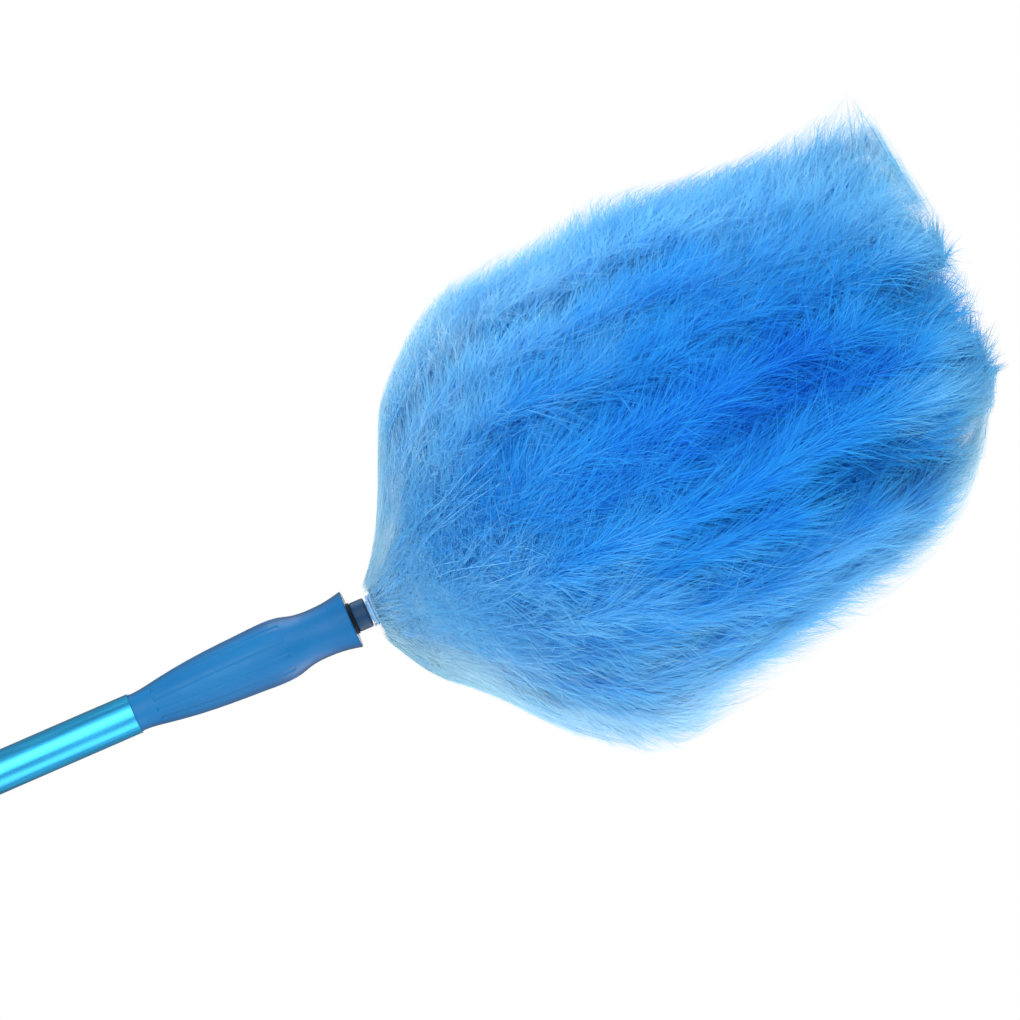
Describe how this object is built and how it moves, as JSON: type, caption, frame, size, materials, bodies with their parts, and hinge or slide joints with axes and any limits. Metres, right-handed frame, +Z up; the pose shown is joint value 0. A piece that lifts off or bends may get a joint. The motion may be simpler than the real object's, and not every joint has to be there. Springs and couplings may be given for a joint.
{
  "type": "feather duster",
  "caption": "Extendable duster: a full, lopsided head of dyed fluffy plumes on a screw-in neck, carried by a swelled ferrule grip on a telescopic twist-lock pole with a hanging eye.",
  "frame": {"origin": "centre of the hanging eye in the end cap, at the butt of the pole", "axes": "+Z up along the pole to the plume head, +Y along the hanging eye's bore, and -X towards the fuller side of the lopsided head"},
  "size_m": [0.2551, 0.2594, 1.0193],
  "materials": {
    "cap_plastic": "moulded, satin",
    "tube_lacquer": "metallic blue lacquer on aluminium, glossy",
    "grip_foam": "soft foamed rubber, matt",
    "lock_plastic": "moulded, satin",
    "inner_plastic": "natural nylon, matt",
    "ferrule_plastic": "moulded, satin",
    "neck_plastic": "moulded, satin",
    "washer_rubber": "matt",
    "dowel_wood": "plain turned beech",
    "cord": "twisted, matt",
    "plume": "dyed fluffy plumes, paler at the tips",
    "wire": "bright drawn wire"
  },
  "bodies": {
    "handle": {"end_cap": "cap_plastic", "rear_tube": "tube_lacquer", "rear_grip": "grip_foam", "stop_bush": "inner_plastic", "collet": "lock_plastic"},
    "nut": {"lock_nut": "lock_plastic"},
    "guide": {"guide_ring": "inner_plastic"},
    "pole": {"front_tube": "tube_lacquer", "guide_plug": "inner_plastic", "ferrule": "ferrule_plastic"},
    "washer": {"neck_washer": "washer_rubber"},
    "head": {"neck": "neck_plastic", "dowel": "dowel_wood", "binding_cord": "cord", "plumes_outer": "plume", "plumes_middle": "plume", "plumes_inner": "plume", "tie_wire_outer": "wire", "tie_wire_middle": "wire", "tie_wire_inner": "wire"}
  },
  "joints": [
    {"name": "lock_turn", "type": "hinge", "parent": "handle", "child": "nut", "pos_m": [0, 0, 0.407], "axis": [0, 0, 1], "range_deg": [0, 90]},
    {"name": "pole_slide", "type": "slide", "parent": "handle", "child": "guide", "axis": [0, 0, 1], "range_m": [0, 0.317]},
    {"name": "pole_turn", "type": "hinge", "parent": "guide", "child": "pole", "pos_m": [0, 0, 0.052], "axis": [0, 0, 1], "continuous": true},
    {"name": "neck_rise", "type": "slide", "parent": "pole", "child": "washer", "axis": [0, 0, 1], "range_m": [0, 0.0161]},
    {"name": "neck_unscrew", "type": "hinge", "parent": "washer", "child": "head", "pos_m": [0, 0, 0.655], "axis": [0, 0, 1], "range_deg": [0, 1440]}
  ],
  "couplings": [
    {"joint": "neck_rise", "follows": "neck_unscrew", "m_per_rad": 0.00063662}
  ]
}
